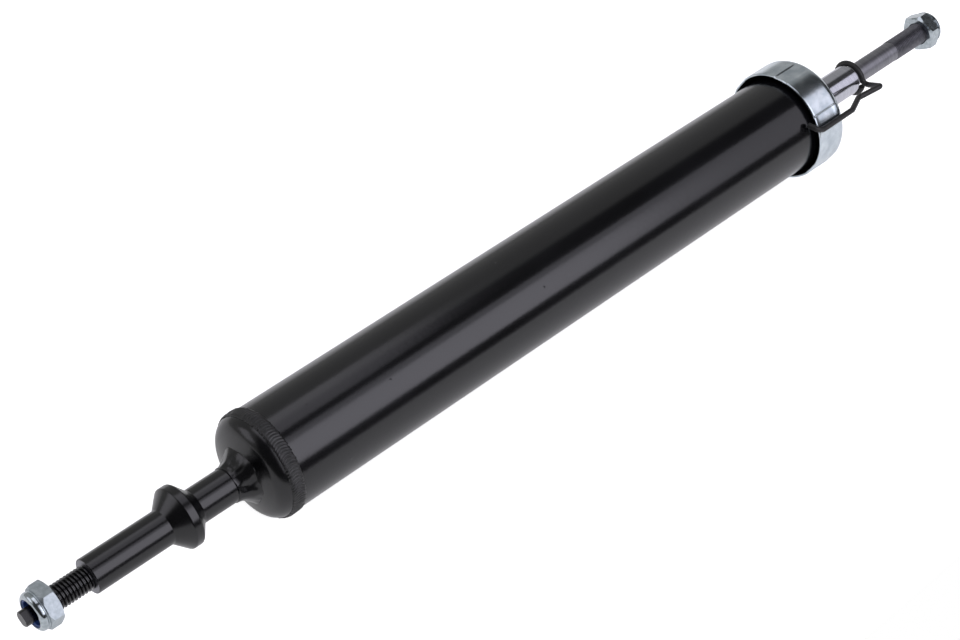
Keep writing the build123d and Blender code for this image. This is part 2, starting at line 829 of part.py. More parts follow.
ring_plane = Plane(origin=(clip_x, 0, 0), x_dir=clip_point(0, 1, 0), z_dir=(1, 0, 0))
ring_reach = ring_centre_r + clip_ring_bend
arm_start_angle = degrees(asin(clip_ring_bend / ring_reach))
arm_start_r = sqrt(ring_reach**2 - clip_ring_bend**2)
with BuildPart() as retaining_clip:
    with BuildLine(ring_plane) as ring_line:
        ring_arc = CenterArc(
            (0, 0), ring_centre_r, clip_end_angle, 360 - arm_start_angle - clip_end_angle
        )
        CenterArc(
            (arm_start_r, -clip_ring_bend), clip_ring_bend, 180 - arm_start_angle, arm_start_angle - 90
        )
    with BuildLine() as leg_line:
        FilletPolyline(
            clip_point(clip_x, arm_start_r, 0),
            clip_point(clip_x, arm_start_r + wire_r, 0),
            clip_point(clip_x - clip_elbow_back, clip_elbow_r, 0),
            clip_point(clip_x - clip_hand_back, clip_hand_r, 0),
            clip_point(clip_x - clip_jog_back, leg_r, 0),
            clip_point(cap_rim_x + clip_hook_start, leg_r, 0),
            clip_point(cap_rim_x - clip_hook_drop, leg_r, clip_hook_swing),
            clip_point(cap_rim_x - clip_hook_end_drop, hook_end_r, clip_hook_end_swing),
            radius=clip_bend,
        )
    with BuildSketch(Plane(origin=ring_arc @ 0, z_dir=ring_arc % 0)):
        Circle(wire_r)
    sweep(path=Wire(ring_line.edges() + leg_line.edges()))
retaining_clip.part.label = "retaining_clip"
export_step(retaining_clip.part, "parts/retaining_clip.step")
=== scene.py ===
import bmesh
import bpy
import json
import math
from mathutils import Matrix, Vector, noise


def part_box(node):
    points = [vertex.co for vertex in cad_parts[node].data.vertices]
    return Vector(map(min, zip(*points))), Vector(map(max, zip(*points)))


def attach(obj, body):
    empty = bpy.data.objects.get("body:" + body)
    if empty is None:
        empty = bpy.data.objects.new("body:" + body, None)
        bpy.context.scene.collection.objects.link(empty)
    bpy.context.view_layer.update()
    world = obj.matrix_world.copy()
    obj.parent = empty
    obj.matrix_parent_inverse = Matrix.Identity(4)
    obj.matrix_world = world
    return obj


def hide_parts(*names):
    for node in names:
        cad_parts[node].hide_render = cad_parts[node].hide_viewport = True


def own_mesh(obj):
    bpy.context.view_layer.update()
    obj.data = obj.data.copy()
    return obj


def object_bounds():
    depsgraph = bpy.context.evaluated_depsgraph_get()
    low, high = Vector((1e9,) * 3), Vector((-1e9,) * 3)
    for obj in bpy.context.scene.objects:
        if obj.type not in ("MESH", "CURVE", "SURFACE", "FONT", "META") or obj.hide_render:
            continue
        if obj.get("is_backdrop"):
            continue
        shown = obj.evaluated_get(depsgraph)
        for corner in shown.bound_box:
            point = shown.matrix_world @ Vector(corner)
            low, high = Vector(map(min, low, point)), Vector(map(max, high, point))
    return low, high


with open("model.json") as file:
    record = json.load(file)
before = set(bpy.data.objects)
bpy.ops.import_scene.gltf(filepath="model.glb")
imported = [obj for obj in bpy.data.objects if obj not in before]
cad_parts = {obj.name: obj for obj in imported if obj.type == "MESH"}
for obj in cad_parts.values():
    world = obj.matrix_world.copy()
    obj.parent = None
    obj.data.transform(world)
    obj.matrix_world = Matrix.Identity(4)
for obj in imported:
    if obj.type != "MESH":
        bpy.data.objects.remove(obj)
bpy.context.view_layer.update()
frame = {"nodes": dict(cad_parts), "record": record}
print("stage: frame loaded")

mm = 0.001
xAxis = Vector((1, 0, 0))
# points this near to each other are merged, and points this near to a cut lie on it
mergeReach = 0.002 * mm
cutReach = 0.001 * mm
# a share of a length may pass 1 by rounding
shareLimit = 1.001
mounts = {m["name"]: m for m in frame["record"]["mounts"]}


def mountEnds(name):
    # first and last x of the plain seat that a mount names
    mount = mounts[name]
    half = mount["dims"]["length_mm"] * mm / 2
    return mount["pos_m"][0] - half, mount["pos_m"][0] + half


seatStart, seatEnd = mountEnds("lower_pin")
shankStart, shankEnd = mountEnds("upper_pin")
stemRadius = mounts["lower_pin"]["dims"]["r_mm"] * mm
shankRadius = mounts["upper_pin"]["dims"]["r_mm"] * mm
stemLow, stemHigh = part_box("lower_stem")
rodLow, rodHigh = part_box("piston_rod")
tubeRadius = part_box("reserve_tube")[1].y


# Materials

def linearColour(code):
    # sRGB hex to linear, with alpha
    parts = [int(code[i:i + 2], 16) / 255 for i in (1, 3, 5)]
    return [c / 12.92 if c <= 0.04045 else ((c + 0.055) / 1.055) ** 2.4 for c in parts] + [1]


def addNode(tree, kind, settings=None, links=None):
    # sockets go by name, or by number where names repeat, and a link from a node comes from its first output
    node = tree.nodes.new(kind)
    for name, value in (settings or {}).items():
        if isinstance(name, int) or name in node.inputs:
            node.inputs[name].default_value = value
        else:
            setattr(node, name, value)
    for name, source in (links or {}).items():
        tree.links.new(source.outputs[0] if isinstance(source, bpy.types.Node) else source, node.inputs[name])
    return node


def perMetre(sizeMm):
    # texture scale that repeats about every sizeMm
    return 1 / (sizeMm * mm)


def newMaterial(name, settings):
    material = bpy.data.materials.new(name)
    material.use_nodes = True
    tree = material.node_tree
    shader = tree.nodes["Principled BSDF"]
    for socket, value in settings.items():
        shader.inputs[socket].default_value = value
    place = addNode(tree, "ShaderNodeTexCoord").outputs["Object"]
    return material, tree, shader, place


def finishSurface(tree, shader, roughness=None, colour=None, relief=None):
    # lets each of the three follow a pattern: (pattern, low, high), (pattern, dark stop, pale stop) and
    # (pattern, height in mm, strength)
    if roughness:
        pattern, low, high = roughness
        spread = addNode(tree, "ShaderNodeMapRange", {"To Min": low, "To Max": high}, {"Value": pattern})
        tree.links.new(spread.outputs["Result"], shader.inputs["Roughness"])
    if colour:
        pattern, *stops = colour
        ramp = addNode(tree, "ShaderNodeValToRGB", None, {"Fac": pattern})
        for element, (position, code) in zip(ramp.color_ramp.elements, stops):
            element.position = position
            element.color = linearColour(code)
        tree.links.new(ramp.outputs["Color"], shader.inputs["Base Color"])
    if relief:
        pattern, heightMm, strength = relief
        bump = addNode(tree, "ShaderNodeBump", {"Distance": heightMm * mm, "Strength": strength}, {"Height": pattern})
        tree.links.new(bump.outputs["Normal"], shader.inputs["Normal"])


# Stoving enamel sprayed on drawn steel tube: near black, glossy, with a faint orange peel
def stovedEnamel():
    material, tree, shader, place = newMaterial("stovedBlackEnamel", {"IOR": 1.5, "Roughness": 0.18})
    peel = addNode(tree, "ShaderNodeTexNoise", {"Scale": perMetre(1.8), "Detail": 3.0}, {"Vector": place})
    cloud = addNode(tree, "ShaderNodeTexNoise", {"Scale": perMetre(35), "Detail": 3.0}, {"Vector": place})
    # dust nibs 0.5 mm across under the enamel: few of the cells' middles lie in the skin, so the nibs that show
    # are a few centimetres apart
    cells = addNode(tree, "ShaderNodeTexVoronoi", {"Scale": perMetre(11)}, {"Vector": place})
    nibs = addNode(tree, "ShaderNodeMapRange", {"From Min": 0.045, "From Max": 0.015, "To Min": 0.0, "To Max": 6.0},
                   {"Value": cells.outputs["Distance"]})
    height = addNode(tree, "ShaderNodeMath", {"operation": "ADD"}, {0: peel, 1: nibs})
    finishSurface(tree, shader, roughness=(cloud, 0.14, 0.22), colour=(cloud, (0.3, "#08080a"), (0.7, "#0b0b0e")),
                  relief=(height, 0.03, 0.6))
    return material


# The same enamel on turned and pressed steel: a thinner coat, a little less glossy
def stemEnamel():
    material, tree, shader, place = newMaterial("stemBlackEnamel", {"IOR": 1.5, "Roughness": 0.2})
    peel = addNode(tree, "ShaderNodeTexNoise", {"Scale": perMetre(1.6), "Detail": 2.0}, {"Vector": place})
    finishSurface(tree, shader, roughness=(peel, 0.17, 0.25), colour=(peel, (0.3, "#070709"), (0.7, "#0a0a0c")),
                  relief=(peel, 0.02, 0.3))
    return material


# Enamel over weld metal: it dries dull and thin on the ripples
def weldEnamel():
    material, tree, shader, place = newMaterial("weldBlackEnamel", {"IOR": 1.5, "Roughness": 0.4})
    scale = addNode(tree, "ShaderNodeTexNoise", {"Scale": perMetre(0.8), "Detail": 4.0}, {"Vector": place})
    blot = addNode(tree, "ShaderNodeTexNoise", {"Scale": perMetre(5), "Detail": 2.0}, {"Vector": place})
    finishSurface(tree, shader, roughness=(blot, 0.28, 0.5), colour=(scale, (0.3, "#040404"), (0.75, "#0a0a0b")),
                  relief=(scale, 0.08, 0.5))
    return material


# Bright zinc plate, clear chromated: pale and bluish, slightly cloudy
def brightZinc():
    material, tree, shader, place = newMaterial("brightZincPlate", {"Metallic": 1.0, "Roughness": 0.25})
    cloud = addNode(tree, "ShaderNodeTexNoise", {"Scale": perMetre(6), "Detail": 4.0}, {"Vector": place})
    grain = addNode(tree, "ShaderNodeTexNoise", {"Scale": perMetre(0.5), "Detail": 3.0}, {"Vector": place})
    finishSurface(tree, shader, roughness=(cloud, 0.15, 0.27), colour=(cloud, (0.35, "#b4bec5"), (0.65, "#d1d9de")),
                  relief=(grain, 0.01, 0.3))
    return material


# How dull each lock nut's hexagon is, and where its finish gives way to the collar's, in shares of the nut
lockNuts = {
    "dullness": {"lower_nut": 0.42, "upper_nut": 0.1}, "collarDullness": 0.1, "cloudSpread": 0.1,
    "hexagonShare": 0.62, "collarShare": 0.78,
}


# The same plate on the lock nuts: smooth on the crimped collars, tumbled and dull on the lower nut's hexagon
def nutZinc(nutName, settings):
    nutLow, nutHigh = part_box(nutName)
    # the hexagon faces the middle of the unit, and the collar faces outward
    inward, outward = (nutHigh.x, nutLow.x) if nutName == "lower_nut" else (nutLow.x, nutHigh.x)
    material, tree, shader, place = newMaterial("tumbledZinc_" + nutName, {"Metallic": 1.0, "Roughness": 0.4})
    cloud = addNode(tree, "ShaderNodeTexNoise", {"Scale": perMetre(1.6), "Detail": 4.0}, {"Vector": place})
    dents = addNode(tree, "ShaderNodeTexNoise", {"Scale": perMetre(0.9), "Detail": 2.0}, {"Vector": place})
    along = addNode(tree, "ShaderNodeSeparateXYZ", None, {"Vector": place})
    dull = addNode(tree, "ShaderNodeMapRange", {
        "From Min": inward + (outward - inward) * settings["collarShare"], "To Min": settings["collarDullness"],
        "From Max": inward + (outward - inward) * settings["hexagonShare"], "To Max": settings["dullness"][nutName],
    }, {"Value": along.outputs["X"]})
    rough = addNode(tree, "ShaderNodeMath", {"operation": "MULTIPLY_ADD", 1: settings["cloudSpread"]},
                    {0: cloud, 2: dull})
    tree.links.new(rough.outputs[0], shader.inputs["Roughness"])
    finishSurface(tree, shader, colour=(cloud, (0.35, "#a2abaf"), (0.65, "#b9c1c5")), relief=(dents, 0.02, 0.25))
    return material


# Hard chrome, ground and polished along the rod: grey, mirror like, with fine rings
def groundChrome():
    material, tree, shader, place = newMaterial("groundHardChrome", {"Metallic": 1.0, "Roughness": 0.16})
    drawn = addNode(tree, "ShaderNodeMapping", {"Scale": (perMetre(0.4), perMetre(20), perMetre(20))},
                    {"Vector": place})
    rings = addNode(tree, "ShaderNodeTexNoise", {"Scale": 1.0, "Detail": 2.0}, {"Vector": drawn})
    finishSurface(tree, shader, roughness=(rings, 0.14, 0.22), colour=(rings, (0.3, "#b2b3bb"), (0.7, "#c2c3cb")))
    return material


# Turned medium carbon steel, lightly oiled: dark grey and satin
def turnedSteel():
    material, tree, shader, place = newMaterial("turnedOiledSteel", {"Metallic": 1.0, "Roughness": 0.34})
    drawn = addNode(tree, "ShaderNodeMapping", {"Scale": (perMetre(0.5), perMetre(14), perMetre(14))},
                    {"Vector": place})
    rings = addNode(tree, "ShaderNodeTexNoise", {"Scale": 1.0, "Detail": 3.0}, {"Vector": drawn})
    finishSurface(tree, shader, roughness=(rings, 0.36, 0.48), colour=(rings, (0.3, "#7b7b80"), (0.7, "#929297")),
                  relief=(rings, 0.01, 0.2))
    return material


# A rolled thread keeps more of the oil and reads darker than the shank
def rolledSteel():
    material, tree, shader, place = newMaterial("rolledOiledSteel", {"Metallic": 1.0, "Roughness": 0.4})
    cloud = addNode(tree, "ShaderNodeTexNoise", {"Scale": perMetre(1.5), "Detail": 3.0}, {"Vector": place})
    finishSurface(tree, shader, roughness=(cloud, 0.34, 0.46), colour=(cloud, (0.3, "#6a6a6f"), (0.7, "#7d7d82")))
    return material


# Phosphated spring wire, oiled: matt black with a soft sheen
def phosphatedWire():
    material, tree, shader, place = newMaterial("phosphatedSpringWire", {"IOR": 1.5, "Roughness": 0.5})
    grain = addNode(tree, "ShaderNodeTexNoise", {"Scale": perMetre(0.7), "Detail": 4.0}, {"Vector": place})
    finishSurface(tree, shader, roughness=(grain, 0.4, 0.6), colour=(grain, (0.35, "#0b0a0a"), (0.65, "#161514")),
                  relief=(grain, 0.03, 0.35))
    return material


# Moulded polyamide locking ring: mid blue, waxy, lets a little light in
def blueNylon():
    material, tree, shader, place = newMaterial("blueMouldedNylon", {
        "IOR": 1.53, "Roughness": 0.4, "Subsurface Weight": 0.15, "Subsurface Radius": (0.001, 0.001, 0.002)})
    cloud = addNode(tree, "ShaderNodeTexNoise", {"Scale": perMetre(1.2), "Detail": 2.0}, {"Vector": place})
    finishSurface(tree, shader, roughness=(cloud, 0.34, 0.5), colour=(cloud, (0.3, "#2f55a3"), (0.7, "#3f6bc0")))
    return material


# Inner pieces, seen only when the unit is apart
def innerFinish(name, lowCode, highCode, metallic, roughness, grainMm):
    material, tree, shader, place = newMaterial(name, {"Metallic": metallic, "Roughness": roughness})
    grain = addNode(tree, "ShaderNodeTexNoise", {"Scale": perMetre(grainMm), "Detail": 4.0}, {"Vector": place})
    finishSurface(tree, shader, roughness=(grain, roughness * 0.8, roughness * 1.2),
                  colour=(grain, (0.3, lowCode), (0.7, highCode)), relief=(grain, 0.02, 0.3))
    return material


tubeEnamel = stovedEnamel()
turnedEnamel = stemEnamel()
weldBlack = weldEnamel()
zincPlate = brightZinc()
rodChrome = groundChrome()
bareSteel = turnedSteel()
threadSteel = rolledSteel()
wireBlack = phosphatedWire()
nylonBlue = blueNylon()
# cold rolled steel, stamped or drawn, with a film of oil: mid grey and smooth
coldRolled = innerFinish("coldRolledSteel", "#8d8f92", "#a3a5a8", metallic=1.0, roughness=0.35, grainMm=2)
# pressed and sintered iron powder: dark, warm grey and porous
sinteredIron = innerFinish("sinteredIron", "#5c5a57", "#6f6d69", metallic=0.8, roughness=0.55, grainMm=0.4)
# rolled bush of steel strip, faced with tin bronze
linedBronze = innerFinish("linedBronze", "#9c7a45", "#b08f58", metallic=1.0, roughness=0.35, grainMm=0.8)
# moulded nitrile rubber, black from its carbon filler
nitrileRubber = innerFinish("nitrileRubber", "#141414", "#1c1c1c", metallic=0.0, roughness=0.6, grainMm=0.8)
# PTFE filled with carbon: dark brown and waxy
filledPtfe = innerFinish("filledPtfe", "#2c2925", "#38342f", metallic=0.0, roughness=0.5, grainMm=0.5)
slotFinish = {
    "black_enamel": turnedEnamel,
    "zinc_plate": zincPlate,
    "chromed_rod": rodChrome,
    "blue_nylon": nylonBlue,
    "black_wire": wireBlack,
    "plain_steel": coldRolled,
    "sintered_iron": sinteredIron,
    "bronze_bush": linedBronze,
    "black_rubber": nitrileRubber,
    "filled_ptfe": filledPtfe,
}
for subpart in frame["record"]["subparts"]:
    node = frame["nodes"][subpart["node"]]
    node.data.materials.clear()
    node.data.materials.append(slotFinish[subpart["material_slot"]])
frame["nodes"]["reserve_tube"].data.materials[0] = tubeEnamel
for nutName in lockNuts["dullness"]:
    frame["nodes"][nutName].data.materials[0] = nutZinc(nutName, lockNuts)
print("stage: materials made")


# Meshes

def axisRadius(vert):
    return math.hypot(vert.co.y, vert.co.z)


def axisAngle(vert):
    return math.atan2(vert.co.z, vert.co.y)


def scaleRadius(vert, scale):
    vert.co.y *= scale
    vert.co.z *= scale


def finishMesh(mesh, name, body, finishes, replaced, sharpDegrees=35):
    bmesh.ops.remove_doubles(mesh, verts=mesh.verts, dist=mergeReach)
    bmesh.ops.recalc_face_normals(mesh, faces=mesh.faces)
    data = bpy.data.meshes.new(name)
    mesh.to_mesh(data)
    mesh.free()
    for finish in finishes:
        data.materials.append(finish)
    data.shade_smooth()
    data.set_sharp_from_angle(angle=math.radians(sharpDegrees))
    piece = bpy.data.objects.new(name, data)
    bpy.context.scene.collection.objects.link(piece)
    # long faces keep their own slope beside small bevels
    piece.modifiers.new("evenShading", "WEIGHTED_NORMAL").keep_sharp = True
    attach(piece, body)
    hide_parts(*replaced)
    return piece


def spinProfile(mesh, points, steps, finish=0):
    # turns a line of (x, radius) points round the x axis
    verts = [mesh.verts.new((x, r, 0)) for x, r in points]
    edges = [mesh.edges.new(pair) for pair in zip(verts, verts[1:])]
    before = set(mesh.faces)
    bmesh.ops.spin(mesh, geom=verts + edges, cent=(0, 0, 0), axis=xAxis, angle=2 * math.pi, steps=steps,
                   use_merge=True)
    for face in set(mesh.faces) - before:
        face.material_index = finish


def spinThread(mesh, startX, endX, settings, finish=0):
    # one pitch of the thread's outline, wound along the axis, then cut to length
    pitch = settings["pitchMm"] * mm
    crest = settings["crestMm"] * mm / 2
    root = settings["rootMm"] * mm / 2
    flat = pitch * settings["crestShare"] / 2
    groove = pitch * settings["rootShare"] / 2
    turns = math.ceil((endX - startX) / pitch) + 2
    steps = settings["stepsPerTurn"]
    firstX = startX - pitch
    outline = [(0, crest), (flat, crest), (pitch / 2 - groove, root), (pitch / 2 + groove, root),
               (pitch - flat, crest), (pitch, crest)]
    before = set(mesh.verts)
    verts = [mesh.verts.new((firstX + x, r, 0)) for x, r in outline]
    edges = [mesh.edges.new(pair) for pair in zip(verts, verts[1:])]
    bmesh.ops.spin(mesh, geom=verts + edges, cent=(0, 0, 0), axis=xAxis, dvec=xAxis * (pitch / steps),
                   angle=2 * math.pi * turns, steps=steps * turns, use_merge=False)
    made = [v for v in mesh.verts if v not in before]
    bmesh.ops.remove_doubles(mesh, verts=made, dist=settings["mergeMm"] * mm)
    for cutX, side in ((startX, True), (endX, False)):
        made = [v for v in mesh.verts if v not in before]
        geom = made + list({e for v in made for e in v.link_edges}) + list({f for v in made for f in v.link_faces})
        bmesh.ops.bisect_plane(mesh, geom=geom, dist=cutReach, plane_co=(cutX, 0, 0), plane_no=xAxis,
                               clear_inner=side, clear_outer=not side)
    made = [v for v in mesh.verts if v not in before]
    for face in {f for v in made for f in v.link_faces}:
        face.material_index = finish
    return made


def chamferThread(verts, freeX, chamferedX, settings):
    # turns the thread down to a cone at its free end
    endRadius = settings["rootMm"] * mm / 2 - settings["chamferSinkMm"] * mm
    crest = settings["crestMm"] * mm / 2
    for vert in verts:
        share = (vert.co.x - freeX) / (chamferedX - freeX)
        if 0 <= share <= shareLimit:
            limit = endRadius + (crest - endRadius) * share
            radius = axisRadius(vert)
            if radius > limit:
                scaleRadius(vert, limit / radius)


# Lower stem, turned from bar: tang, rolled thread, bush seat, double cone collar and neck
lowerStem = {
    "collarMm": 25.8, "frontConeMm": 5.8, "landMm": 3.3, "rearConeMm": 4.9, "tangMm": 6.4, "tangLengthMm": 6.1,
    "tangFlatsMm": 5.0, "tangTurn": 35.0, "tangSteps": 48, "chamferMm": 1.1, "edgeMm": 0.35, "steps": 160,
    # how far the middle of a softened edge is set back: at the seat's shoulder, and at the blunter collar
    "edgeShare": 0.3, "collarEdgeShare": 0.2,
    "thread": {"pitchMm": 1.5, "crestMm": 9.95, "rootMm": 8.2, "crestShare": 0.22, "rootShare": 0.16,
               "stepsPerTurn": 48, "mergeMm": 0.01, "chamferSinkMm": 0.3, "overlapMm": 0.1},
}


def makeLowerStem(settings):
    mesh = bmesh.new()
    thread = settings["thread"]
    edge = settings["edgeMm"] * mm
    softEdge = edge * settings["edgeShare"]
    softCollar = edge * settings["collarEdgeShare"]
    collar = settings["collarMm"] * mm / 2
    landStart = seatEnd + settings["frontConeMm"] * mm
    landEnd = landStart + settings["landMm"] * mm
    neckStart = landEnd + settings["rearConeMm"] * mm
    tang = settings["tangMm"] * mm / 2
    tangEnd = stemLow.x
    threadEnd = tangEnd + settings["tangLengthMm"] * mm
    # the shoulder face that the thread stands on is bare steel
    spinProfile(mesh, [(seatStart, 0), (seatStart, stemRadius - edge)], settings["steps"], finish=1)
    spinProfile(mesh, [
        (seatStart, stemRadius - edge), (seatStart + softEdge, stemRadius - softEdge),
        (seatStart + edge, stemRadius), (seatEnd, stemRadius),
        (landStart - edge, collar - edge), (landStart, collar - softCollar), (landStart + edge, collar),
        (landEnd - edge, collar), (landEnd, collar - softCollar), (landEnd + edge, collar - edge),
        (neckStart - edge, stemRadius + edge), (neckStart + edge, stemRadius),
        (stemHigh.x, stemRadius), (stemHigh.x, 0),
    ], settings["steps"])
    verts = spinThread(mesh, threadEnd, seatStart, thread)
    chamferThread(verts, threadEnd, threadEnd + settings["chamferMm"] * mm, thread)
    cap = thread["rootMm"] * mm / 2 + thread["overlapMm"] * mm
    spinProfile(mesh, [(threadEnd, 0), (threadEnd, cap)], thread["stepsPerTurn"])
    # tang with two flats
    tangMesh = bmesh.new()
    spinProfile(tangMesh, [
        (tangEnd, 0), (tangEnd, tang - edge), (tangEnd + edge, tang), (threadEnd, tang), (threadEnd, 0),
    ], settings["tangSteps"])
    turn = math.radians(settings["tangTurn"])
    across = Vector((0, -math.sin(turn), math.cos(turn)))
    for way in (1, -1):
        normal = across * way
        geom = list(tangMesh.verts) + list(tangMesh.edges) + list(tangMesh.faces)
        cut = bmesh.ops.bisect_plane(tangMesh, geom=geom, dist=cutReach, plane_no=normal,
                                     plane_co=normal * settings["tangFlatsMm"] * mm / 2, clear_outer=True)
        bmesh.ops.contextual_create(tangMesh, geom=[e for e in cut["geom_cut"] if isinstance(e, bmesh.types.BMEdge)])
    scratch = bpy.data.meshes.new("tang")
    tangMesh.to_mesh(scratch)
    tangMesh.free()
    mesh.from_mesh(scratch)
    bpy.data.meshes.remove(scratch)
    finishMesh(mesh, "turned_lower_stem", "barrel", [turnedEnamel, bareSteel], ["lower_stem"])


makeLowerStem(lowerStem)
print("stage: lower stem")


# Piston rod: spigot, ground rod, shoulder, turned shank and rolled thread
pistonRod = {
    "spigotMm": 9.0, "spigotLengthMm": 30.0, "shoulderMm": 0.6, "filletMm": 0.2, "runoutMm": 0.3, "chamferMm": 1.1,
    "steps": 128,
    "thread": {"pitchMm": 1.0, "crestMm": 9.98, "rootMm": 8.9, "crestShare": 0.3, "rootShare": 0.14,
               "stepsPerTurn": 48, "mergeMm": 0.01, "chamferSinkMm": 0.3, "overlapMm": 0.1},
}


def makePistonRod(settings):
    mesh = bmesh.new()
    thread = settings["thread"]
    rodRadius = rodHigh.y
    edge = settings["shoulderMm"] * mm
    fillet = settings["filletMm"] * mm
    runout = settings["runoutMm"] * mm
    spigot = settings["spigotMm"] * mm / 2
    rodStart = rodLow.x + settings["spigotLengthMm"] * mm
    root = thread["rootMm"] * mm / 2
    overlap = thread["overlapMm"] * mm
    spinProfile(mesh, [
        (rodLow.x, 0), (rodLow.x, spigot), (rodStart, spigot), (rodStart, rodRadius),
        (shankStart - edge, rodRadius), (shankStart, rodRadius - edge),
    ], settings["steps"])
    spinProfile(mesh, [
        (shankStart, rodRadius - edge), (shankStart, shankRadius + fillet), (shankStart + fillet, shankRadius),
        (shankEnd - runout, shankRadius), (shankEnd + runout, root - overlap), (shankEnd + runout, 0),
    ], settings["steps"], finish=1)
    verts = spinThread(mesh, shankEnd - overlap, rodHigh.x, thread, finish=2)
    chamferThread(verts, rodHigh.x, rodHigh.x - settings["chamferMm"] * mm, thread)
    spinProfile(mesh, [(rodHigh.x, 0), (rodHigh.x, root + overlap)], thread["stepsPerTurn"], finish=2)
    finishMesh(mesh, "ground_piston_rod", "rod", [rodChrome, bareSteel, threadSteel], ["piston_rod"])


makePistonRod(pistonRod)
print("stage: piston rod")


def roughen(vert, sizeMm, heightMm, seed):
    # moves a point out or in by a noise of one grain size
    radius = axisRadius(vert)
    lift = noise.noise(vert.co / (sizeMm * mm) + Vector((seed, 0, 0))) * heightMm * mm
    scaleRadius(vert, (radius + lift) / radius)


def noiseRound(angle, grains, seed):
    # noise that closes on itself round the axis, finer with more grains
    return noise.noise(Vector((grains * math.cos(angle), grains * math.sin(angle), seed)))


# Girth weld between the dome and the tube, laid down by machine in fine ripples
girthWeld = {
    "rippleMm": 1.25, "rippleHeightMm": 0.46, "sweepMm": 1.2, "acrossSteps": 16, "stepsPerRipple": 8, "sinkMm": 0.3,
    # the bead is flat across its middle, and the ripples reach nearly to its edges
    "crownPower": 6, "ripplePower": 8,
    # each ripple's place, its strength and the bead's edge wander, each with its own number of grains
    "phaseWander": 1.2, "phaseGrains": 9, "strength": 0.65, "strengthSpread": 0.35, "strengthGrains": 14,
    "edgeWanderMm": 0.4, "edgeGrains": 30,
    "grainMm": 1.4, "grainHeightMm": 0.12, "grainSeed": 3.0,
}


def makeGirthWeld(settings):
    mesh = bmesh.new()
    beadLow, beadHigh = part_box("dome_weld")
    half = (beadHigh.x - beadLow.x) / 2
    middle = (beadHigh.x + beadLow.x) / 2
    rippleHeight = settings["rippleHeightMm"] * mm
    height = beadHigh.y - tubeRadius - rippleHeight / 2
    ripples = round(2 * math.pi * tubeRadius / (settings["rippleMm"] * mm))
    count = settings["acrossSteps"]
    sink = settings["sinkMm"] * mm
    edgeWander = settings["edgeWanderMm"] * mm
    edge = half - edgeWander
    points = [(middle - edge, tubeRadius - sink)]
    for i in range(count + 1):
        share = -1 + 2 * i / count
        points.append((middle + edge * share, tubeRadius + height * (1 - share ** settings["crownPower"])))
    points.append((middle + edge, tubeRadius - sink))
    points.append(points[0])
    spinProfile(mesh, points, ripples * settings["stepsPerRipple"])
    for vert in mesh.verts:
        radius = axisRadius(vert)
        if radius < tubeRadius - sink / 2:
            continue
        share = (vert.co.x - middle) / edge
        angle = axisAngle(vert)
        # each ripple is a crescent that trails at the bead's edges, and no two are quite alike
        lag = settings["sweepMm"] * mm * share * share / tubeRadius
        phase = ripples * (angle - lag) + settings["phaseWander"] * noiseRound(angle, settings["phaseGrains"], 0)
        crest = abs(math.cos(phase / 2))
        uneven = settings["strengthSpread"] * noiseRound(angle, settings["strengthGrains"], share)
        strength = settings["strength"] + uneven
        lift = rippleHeight * crest * strength * (1 - share ** settings["ripplePower"])
        scaleRadius(vert, (radius + lift) / radius)
        wander = noiseRound(angle, settings["edgeGrains"], share)
        vert.co.x += edgeWander * wander * share * share * (1 if share > 0 else -1)
        roughen(vert, settings["grainMm"], settings["grainHeightMm"], settings["grainSeed"])
    finishMesh(mesh, "rippled_girth_weld", "barrel", [weldBlack], ["dome_weld"], sharpDegrees=80)


makeGirthWeld(girthWeld)
print("stage: girth weld")


# Root weld between the stem and the dome, laid by hand: a cone of lumps that ends in a ragged edge
rootWeld = {
    "steps": 240, "rows": 26, "domeEndMm": 11.8, "stemEndMm": 7.6,
    # hollow at first, then flaring out over the dome
    "straightShare": 0.45, "flareShare": 0.55,
    # both ends are tucked in: along the axis and towards it
    "stemTuckMm": (0.15, 0.7), "domeTuckMm": (1.2, 0.6),
    # lumps and beads are weak at the stem and grow over the first part of the cone
    "calm": 0.25, "growth": 2,
    "lumpMm": 7.5, "lumpHeightMm": 1.5, "lumpSeed": 7.0, "beadMm": 3.6, "beadHeightMm": 0.3, "beadSeed": 11.0,
    "rippleCount": 30, "rippleLean": 0.5, "rippleHeightMm": 0.03,
    "edgeWanderMm": 0.5, "edgeGrains": 5, "edgeSeed": 2,
}


def makeRootWeld(settings):
    mesh = bmesh.new()
    rootLow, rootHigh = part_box("stem_weld")
    length = rootHigh.x - rootLow.x
    count = settings["rows"]
    wide = settings["domeEndMm"] * mm
    narrow = settings["stemEndMm"] * mm
    back, inward = settings["stemTuckMm"]
    points = [(rootLow.x - back * mm, narrow - inward * mm)]
    for i in range(count + 1):
        share = i / count
        flare = settings["straightShare"] * share + settings["flareShare"] * share ** 2
        points.append((rootLow.x + length * share, narrow + (wide - narrow) * flare))
    ahead, inward = settings["domeTuckMm"]
    points.append((rootHigh.x + ahead * mm, wide - inward * mm))
    spinProfile(mesh, points, settings["steps"])
    for vert in mesh.verts:
        share = (vert.co.x - rootLow.x) / length
        if not 0 < share <= shareLimit:
            continue
        angle = axisAngle(vert)
        fade = min(1, settings["calm"] + share * settings["growth"])
        roughen(vert, settings["lumpMm"], settings["lumpHeightMm"] * fade, settings["lumpSeed"])
        roughen(vert, settings["beadMm"], settings["beadHeightMm"] * fade, settings["beadSeed"])
        radius = axisRadius(vert)
        wave = abs(math.sin(settings["rippleCount"] / 2 * (angle + settings["rippleLean"] * share)))
        lift = settings["rippleHeightMm"] * mm * wave * fade * share
        scaleRadius(vert, (radius + lift) / radius)
        wander = noiseRound(angle, settings["edgeGrains"], settings["edgeSeed"])
        vert.co.x += settings["edgeWanderMm"] * mm * wander * (1 - share)
    finishMesh(mesh, "lumpy_root_weld", "barrel", [turnedEnamel], ["stem_weld"],
               sharpDegrees=80)


makeRootWeld(rootWeld)
print("stage: root weld")


